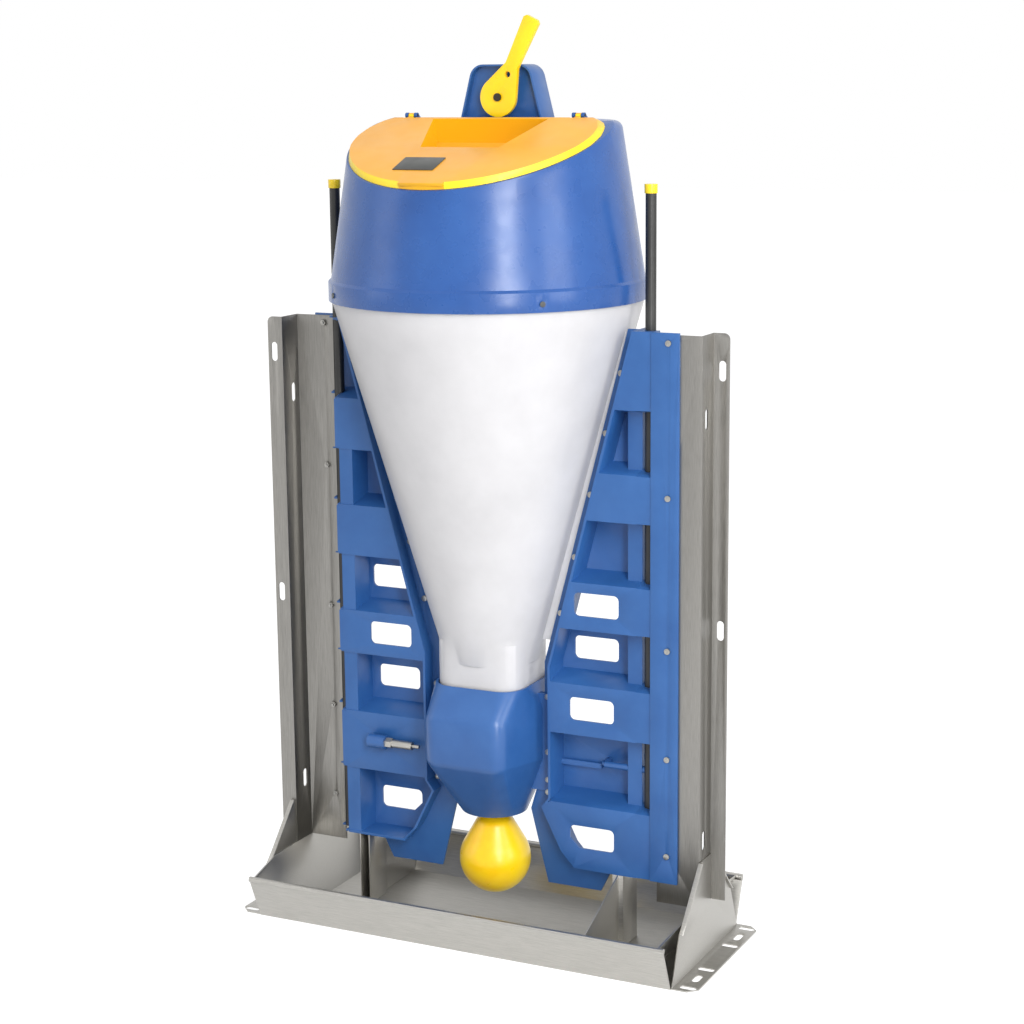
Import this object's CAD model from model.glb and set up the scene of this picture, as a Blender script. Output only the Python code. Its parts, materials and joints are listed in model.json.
import json
import math

import bpy
from mathutils import Matrix, Vector

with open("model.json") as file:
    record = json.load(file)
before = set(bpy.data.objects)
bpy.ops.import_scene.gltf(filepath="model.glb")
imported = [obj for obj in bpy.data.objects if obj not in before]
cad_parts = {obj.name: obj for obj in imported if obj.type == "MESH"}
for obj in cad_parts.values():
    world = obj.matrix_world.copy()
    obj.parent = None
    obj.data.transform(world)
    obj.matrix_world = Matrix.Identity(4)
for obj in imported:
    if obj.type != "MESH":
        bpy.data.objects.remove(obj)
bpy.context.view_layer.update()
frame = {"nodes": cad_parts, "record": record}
scene = bpy.context.scene
scene.view_settings.view_transform = "Standard"
NODES = frame["nodes"]
SLOT_OF = {s["node"]: s["material_slot"] for s in frame["record"]["subparts"]}

# Camera, from a fit to the photograph, in metres and degrees
CAM_AZIMUTH = 26.12
CAM_ELEVATION = 11.38
CAM_ROLL = 0.59
CAM_LENS = 77.33
CAM_SENSOR = 36
CAM_AIM_HEIGHT = 0.65782
CAM_SIDE_STEP = 0.03165
CAM_DISTANCE = 3.35348
CAM_CLIP_END = 50

# Surface detail: noise scales in waves per metre, bumps as strength and depth in metres
NOISE_LOW, NOISE_HIGH = 0.25, 0.75
MOTTLE_SCALE, SHEEN_SCALE, GRAIN_SCALE = 9, 38, 900
GRAIN_BUMP = (0.06, 0.0004)
SHEEN_LESS, SHEEN_MORE = 0.05, 0.08
COAT_ROUGH = 0.25
STREAK_SCALE, STREAK_SHEEN_SCALE, STREAK_BUMP_SCALE = 60, 120, 240
STREAK_BUMP = (0.12, 0.0003)
STREAK_SHADE, STREAK_BRIGHT = 0.8, 1.18
STREAK_LESS, STREAK_MORE = 0.07, 0.09

# Grain of the steel: stretched along Z, along X, or even
GRAIN_UP = (30, 30, 0.6)
GRAIN_ALONG = (0.6, 30, 30)
GRAIN_ROD = (40, 40, 0.8)
GRAIN_EVEN = (12, 12, 12)

# Lid: its tilt, and the regions of the hand pocket and the grip in metres
LID_TILT = math.radians(20.5)
LID_ROUGH = 0.42
LID_SHEEN = (0.36, 0.48)
LID_MOTTLE_SCALE, LID_SHEEN_SCALE, LID_GRAIN_SCALE = 7, 40, 850
LID_COAT, LID_COAT_ROUGH = 0.25, 0.35
RIM_FULL, RIM_NONE = 0.55, 0.9
POCKET_HALF, POCKET_FRONT = 0.1, -0.1
GRIP_HALF, GRIP_BACK = 0.036, -0.19

# Soft edges of the dressed nodes, in metres and degrees
WELD_REACH = 0.00002
EDGE_ANGLE = math.radians(35)
BEVEL_STEPS = 2
BEVELS = {
    "hopper_hood": 0.003,
    "hopper_cone": 0.0012,
    "lid": 0.0022,
    "lid_plate": 0.0005,
    "lever": 0.0016,
    "lever_bracket": 0.004,
    "panel_right": 0.0016,
    "panel_left": 0.0016,
    "trough_pan": 0.0006,
    "end_plate_right": 0.0006,
    "end_plate_left": 0.0006,
    "upright_right": 0.0007,
    "upright_left": 0.0007,
    "divider_right": 0.0006,
    "divider_left": 0.0006,
    "pipe_cap_right": 0.0015,
    "pipe_cap_left": 0.0015,
    "panel_bolts": 0.001,
    "edge_bolts": 0.001,
    "dispenser_screws": 0.001,
    "hood_screws": 0.0006,
}

# Studio: floor and world levels, then each lamp's place, aim, size and power
FLOOR_SIZE = 40
FLOOR_TONE, FLOOR_GLOW = 0.5, 0.72
WORLD_SEEN, WORLD_LIGHT = 1.0, 0.72
LAMPS = {
    "key": ((2.6, -3.0, 3.2), (0, 0, 0.7), (1.6, 2.2), 88),
    "fill": ((-3.2, -2.2, 1.8), (0, 0, 0.7), (1.4, 2.6), 12),
    "side": ((3.4, -0.8, 1.5), (0.3, 0, 0.5), (1.2, 2.2), 28),
    "strip": ((2.05, -2.45, 1.3), (0, 0, 0.9), (0.5, 2.2), 40),
}


def add_camera():
    """Camera at the photograph's viewing angle."""
    az, el = math.radians(CAM_AZIMUTH), math.radians(CAM_ELEVATION)
    right = Vector((math.cos(az), math.sin(az), 0))
    back = Vector((math.sin(az) * math.cos(el), -math.cos(az) * math.cos(el), math.sin(el)))
    data = bpy.data.cameras.new("camera")
    data.sensor_width = CAM_SENSOR
    data.lens = CAM_LENS
    data.clip_end = CAM_CLIP_END
    cam = bpy.data.objects.new("camera", data)
    scene.collection.objects.link(cam)
    place = Vector((0, 0, CAM_AIM_HEIGHT)) + CAM_SIDE_STEP * right + CAM_DISTANCE * back
    axes = Matrix((right, back.cross(right), back)).transposed().to_4x4()
    roll = Matrix.Rotation(-math.radians(CAM_ROLL), 4, "Z")
    cam.matrix_world = Matrix.Translation(place) @ axes @ roll
    scene.camera = cam


def srgb(r, g, b):
    """Linear colour of an 8-bit screen colour."""
    def lin(v):
        v /= 255
        return v / 12.92 if v <= 0.04045 else ((v + 0.055) / 1.055) ** 2.4
    return (lin(r), lin(g), lin(b), 1)


class Mat:
    """A principled material with a few helpers for procedural detail."""

    def __init__(self, name, color, rough, metal=0.0):
        self.m = bpy.data.materials.new(name)
        self.m.use_nodes = True
        self.n = self.m.node_tree.nodes
        self.l = self.m.node_tree.links
        self.b = self.n["Principled BSDF"]
        self.b.inputs["Base Color"].default_value = color
        self.b.inputs["Roughness"].default_value = rough
        self.b.inputs["Metallic"].default_value = metal
        self.coord = self.n.new("ShaderNodeTexCoord")

    def mapped(self, scale):
        """Object coordinates, scaled along each axis."""
        node = self.n.new("ShaderNodeMapping")
        node.inputs["Scale"].default_value = scale
        self.l.new(self.coord.outputs["Object"], node.inputs["Vector"])
        return node.outputs["Vector"]

    def noise(self, scale, detail=3.0, rough=0.5, stretch=(1, 1, 1)):
        node = self.n.new("ShaderNodeTexNoise")
        node.inputs["Scale"].default_value = scale
        node.inputs["Detail"].default_value = detail
        node.inputs["Roughness"].default_value = rough
        self.l.new(self.mapped(stretch), node.inputs["Vector"])
        return node.outputs["Fac"]

    def ramp(self, fac, stops):
        """Colour ramp from a list of places and colours."""
        node = self.n.new("ShaderNodeValToRGB")
        ramp = node.color_ramp
        while len(ramp.elements) < len(stops):
            ramp.elements.new(0.5)
        for e, (pos, col) in zip(ramp.elements, stops):
            e.position = pos
            e.color = col
        self.l.new(fac, node.inputs["Fac"])
        return node.outputs["Color"]

    def span(self, fac, lo, hi, to_lo, to_hi):
        """Value between lo and hi, taken to the range from to_lo to to_hi."""
        node = self.n.new("ShaderNodeMapRange")
        for key, v in (("From Min", lo), ("From Max", hi), ("To Min", to_lo), ("To Max", to_hi)):
            node.inputs[key].default_value = v
        self.l.new(fac, node.inputs["Value"])
        return node.outputs["Result"]

    def math(self, operation, first, second=None):
        """Math node on a socket and, if given, a second socket or number."""
        node = self.n.new("ShaderNodeMath")
        node.operation = operation
        self.l.new(first, node.inputs[0])
        if isinstance(second, (int, float)):
            node.inputs[1].default_value = second
        elif second is not None:
            self.l.new(second, node.inputs[1])
        return node.outputs[0]

    def blend(self, fac, first, second):
        """Mix of two colours, each a socket or a fixed colour."""
        node = self.n.new("ShaderNodeMix")
        node.data_type = "RGBA"
        self.l.new(fac, node.inputs["Factor"])
        colors = [s for s in node.inputs if s.type == "RGBA"]
        for socket, color in zip(colors, (first, second)):
            if isinstance(color, tuple):
                socket.default_value = color
            else:
                self.l.new(color, socket)
        return next(s for s in node.outputs if s.type == "RGBA")

    def color(self, socket):
        self.l.new(socket, self.b.inputs["Base Color"])

    def rough(self, fac, lo, hi):
        self.l.new(self.span(fac, NOISE_LOW, NOISE_HIGH, lo, hi), self.b.inputs["Roughness"])

    def bump(self, fac, strength, distance):
        node = self.n.new("ShaderNodeBump")
        node.inputs["Strength"].default_value = strength
        node.inputs["Distance"].default_value = distance
        self.l.new(fac, node.inputs["Height"])
        self.l.new(node.outputs["Normal"], self.b.inputs["Normal"])

    def set(self, **values):
        for key, v in values.items():
            self.b.inputs[key.replace("_", " ")].default_value = v


def plastic(name, dark, mid, light, rough=0.34, coat=0.15):
    """Moulded plastic: faint mottling, fine grain and a thin gloss."""
    m = Mat(name, mid, rough)
    m.color(m.ramp(m.noise(MOTTLE_SCALE, 4, 0.6), [(0.3, dark), (0.5, mid), (0.72, light)]))
    m.rough(m.noise(SHEEN_SCALE), rough - SHEEN_LESS, rough + SHEEN_MORE)
    m.bump(m.noise(GRAIN_SCALE, 2), *GRAIN_BUMP)
    m.set(Coat_Weight=coat, Coat_Roughness=COAT_ROUGH)
    return m


def steel(name, tone, rough, stretch):
    """Brushed stainless steel with streaks along the grain."""
    m = Mat(name, tone, rough, 1.0)
    shade = [c * STREAK_SHADE for c in tone[:3]] + [1]
    bright = [min(1, c * STREAK_BRIGHT) for c in tone[:3]] + [1]
    streaks = m.noise(STREAK_SCALE, 4, 0.7, stretch)
    m.color(m.ramp(streaks, [(0.32, shade), (0.5, tone), (0.7, bright)]))
    m.rough(m.noise(STREAK_SHEEN_SCALE, 3, 0.6, stretch), rough - STREAK_LESS, rough + STREAK_MORE)
    m.bump(m.noise(STREAK_BUMP_SCALE, 2, 0.6, stretch), *STREAK_BUMP)
    return m


def lid_plastic(name, face, face_light, rim, hollow):
    """Lid: satin face, a brighter band on its rim, and deeper walls in the pocket and at the grip."""
    m = Mat(name, face, LID_ROUGH)
    axes = m.n.new("ShaderNodeSeparateXYZ")
    m.l.new(m.coord.outputs["Object"], axes.inputs[0])
    off = m.math("ABSOLUTE", axes.outputs["X"])

    def region(half, side_test, y):
        """1 within half of the middle, on one side of y."""
        return m.math("MULTIPLY", m.math("LESS_THAN", off, half), m.math(side_test, axes.outputs["Y"], y))

    pocket = region(POCKET_HALF, "GREATER_THAN", POCKET_FRONT)
    grip = region(GRIP_HALF, "LESS_THAN", GRIP_BACK)
    wall = m.blend(m.math("MAXIMUM", pocket, grip), rim, hollow)
    up = m.n.new("ShaderNodeVectorMath")
    up.operation = "DOT_PRODUCT"
    up.inputs[1].default_value = (0, -math.sin(LID_TILT), math.cos(LID_TILT))
    m.l.new(m.coord.outputs["Normal"], up.inputs[0])
    side = m.span(up.outputs["Value"], RIM_FULL, RIM_NONE, 1, 0)
    tone = m.ramp(m.noise(LID_MOTTLE_SCALE, 4, 0.6), [(0.32, face), (0.68, face_light)])
    m.color(m.blend(side, tone, wall))
    m.rough(m.noise(LID_SHEEN_SCALE), *LID_SHEEN)
    m.bump(m.noise(LID_GRAIN_SCALE, 2), *GRAIN_BUMP)
    m.set(Coat_Weight=LID_COAT, Coat_Roughness=LID_COAT_ROUGH)
    return m


def milky_plastic(name, dark, mid, light):
    """Thin milky plastic that lets some light through."""
    m = plastic(name, dark, mid, light, 0.36, 0.1)
    m.set(Alpha=0.74)
    return m


BLUE_HOOD = plastic("blue_hood", srgb(24, 74, 142), srgb(31, 81, 151), srgb(38, 88, 158), 0.27, 0.15)
BLUE = plastic("blue_moulded", srgb(40, 86, 148), srgb(46, 93, 156), srgb(54, 101, 164), 0.34, 0.15)
BLUE_PANEL = plastic("blue_panel", srgb(36, 84, 146), srgb(43, 92, 154), srgb(50, 99, 162), 0.4, 0.1)
YELLOW = plastic("yellow_moulded", srgb(250, 196, 6), srgb(255, 214, 14), srgb(255, 224, 40), 0.3, 0.25)
LID = lid_plastic(
    "lid_moulded", srgb(240, 168, 36), srgb(246, 180, 56), srgb(255, 222, 30), srgb(232, 172, 8)
)
BLACK = plastic("dark_plate", srgb(50, 52, 52), srgb(66, 68, 66), srgb(84, 86, 84), 0.45, 0.1)
RUBBER = plastic("seal_rubber", srgb(18, 18, 18), srgb(24, 24, 24), srgb(34, 34, 34), 0.7, 0.0)
PIPE = plastic("dark_pipe", srgb(22, 22, 22), srgb(32, 32, 31), srgb(48, 48, 46), 0.42, 0.1)
STEEL_UP = steel("stainless_upright", srgb(144, 142, 138), 0.36, GRAIN_UP)
STEEL_X = steel("stainless_trough", srgb(178, 176, 171), 0.36, GRAIN_ALONG)
BOLT = steel("fastener_steel", srgb(165, 164, 160), 0.34, GRAIN_EVEN)
DARK_STEEL = steel("pivot_steel", srgb(70, 66, 60), 0.4, GRAIN_EVEN)
ROD = steel("rod_steel", srgb(140, 138, 134), 0.34, GRAIN_ROD)
WHITE = milky_plastic("hopper_milky", srgb(222, 221, 223), srgb(229, 228, 230), srgb(235, 234, 236))

# Material of each slot, and of the nodes that differ from their slot
SLOT_MATS = {
    "stainless": STEEL_X,
    "fastener_steel": BOLT,
    "blue_plastic": BLUE,
    "yellow_plastic": YELLOW,
    "lid_yellow": LID,
    "hopper_white": WHITE,
    "dark_pipe": PIPE,
    "black_plastic": BLACK,
    "seal_rubber": RUBBER,
}
NODE_MATS = {
    "hopper_hood": BLUE_HOOD,
    "panel_right": BLUE_PANEL,
    "panel_left": BLUE_PANEL,
    "upright_right": STEEL_UP,
    "upright_left": STEEL_UP,
    "nipple_body_right": STEEL_X,
    "nipple_body_left": STEEL_X,
    "nipple_pin_right": STEEL_X,
    "nipple_pin_left": STEEL_X,
    "lever_bolt": DARK_STEEL,
    "hinge_pins": DARK_STEEL,
    "adjusting_rod": ROD,
    "rod_yoke": ROD,
    "rod_guide": ROD,
    "rod_clevis": ROD,
    "swing_cross": ROD,
    "pendulum_fork": ROD,
    "pendulum_stem": ROD,
}


def dress(name, mat, bevel):
    """Gives a CAD node its material and soft edges."""
    o = NODES[name]
    o.data.materials.clear()
    o.data.materials.append(mat.m)
    weld = o.modifiers.new("weld", "WELD")
    weld.merge_threshold = WELD_REACH
    if bevel:
        soft = o.modifiers.new("bevel", "BEVEL")
        soft.width = bevel
        soft.segments = BEVEL_STEPS
        soft.limit_method = "ANGLE"
        soft.angle_limit = EDGE_ANGLE
        soft.harden_normals = False
    for p in o.data.polygons:
        p.use_smooth = True
    split = o.modifiers.new("split", "EDGE_SPLIT")
    split.split_angle = EDGE_ANGLE


def seen_as_background(tree):
    """1 for camera, glossy and transmission rays, which see the background as it is painted."""
    path = tree.nodes.new("ShaderNodeLightPath")
    seen = path.outputs["Is Camera Ray"]
    for ray in ("Is Glossy Ray", "Is Transmission Ray"):
        either = tree.nodes.new("ShaderNodeMath")
        either.operation = "MAXIMUM"
        tree.links.new(seen, either.inputs[0])
        tree.links.new(path.outputs[ray], either.inputs[1])
        seen = either.outputs[0]
    return seen


def add_floor():
    """Plain floor that takes the shadow and looks pale."""
    bpy.ops.mesh.primitive_plane_add(size=FLOOR_SIZE, location=(0, 0, 0))
    floor = bpy.context.object
    floor.name = "floor"
    mat = bpy.data.materials.new("floor")
    mat.use_nodes = True
    tree = mat.node_tree
    tree.nodes.clear()
    out = tree.nodes.new("ShaderNodeOutputMaterial")
    matt = tree.nodes.new("ShaderNodeBsdfDiffuse")
    matt.inputs["Color"].default_value = (FLOOR_TONE, FLOOR_TONE, FLOOR_TONE, 1)
    glow = tree.nodes.new("ShaderNodeEmission")
    gain = tree.nodes.new("ShaderNodeMath")
    gain.operation = "MULTIPLY"
    gain.inputs[1].default_value = FLOOR_GLOW
    both = tree.nodes.new("ShaderNodeAddShader")
    tree.links.new(seen_as_background(tree), gain.inputs[0])
    tree.links.new(gain.outputs[0], glow.inputs["Strength"])
    tree.links.new(matt.outputs[0], both.inputs[0])
    tree.links.new(glow.outputs[0], both.inputs[1])
    tree.links.new(both.outputs[0], out.inputs["Surface"])
    floor.data.materials.append(mat)


def add_world():
    """White background, and a softer even light from all around."""
    world = bpy.data.worlds.new("world")
    scene.world = world
    world.use_nodes = True
    tree = world.node_tree
    back = tree.nodes["Background"]
    back.inputs["Color"].default_value = (1, 1, 1, 1)
    level = tree.nodes.new("ShaderNodeMapRange")
    level.inputs["To Min"].default_value = WORLD_LIGHT
    level.inputs["To Max"].default_value = WORLD_SEEN
    tree.links.new(seen_as_background(tree), level.inputs["Value"])
    tree.links.new(level.outputs["Result"], back.inputs["Strength"])


def add_lamp(name, place, aim, size, power):
    """Rectangular soft lamp, turned towards its aim."""
    data = bpy.data.lights.new(name, "AREA")
    data.shape = "RECTANGLE"
    data.size, data.size_y = size
    data.energy = power
    lamp = bpy.data.objects.new(name, data)
    scene.collection.objects.link(lamp)
    lamp.location = place
    lamp.rotation_euler = (Vector(aim) - Vector(place)).to_track_quat("-Z", "Y").to_euler()


add_camera()
for name in NODES:
    dress(name, NODE_MATS.get(name, SLOT_MATS[SLOT_OF[name]]), BEVELS.get(name, 0))
add_floor()
add_world()
for name, values in LAMPS.items():
    add_lamp(name, *values)
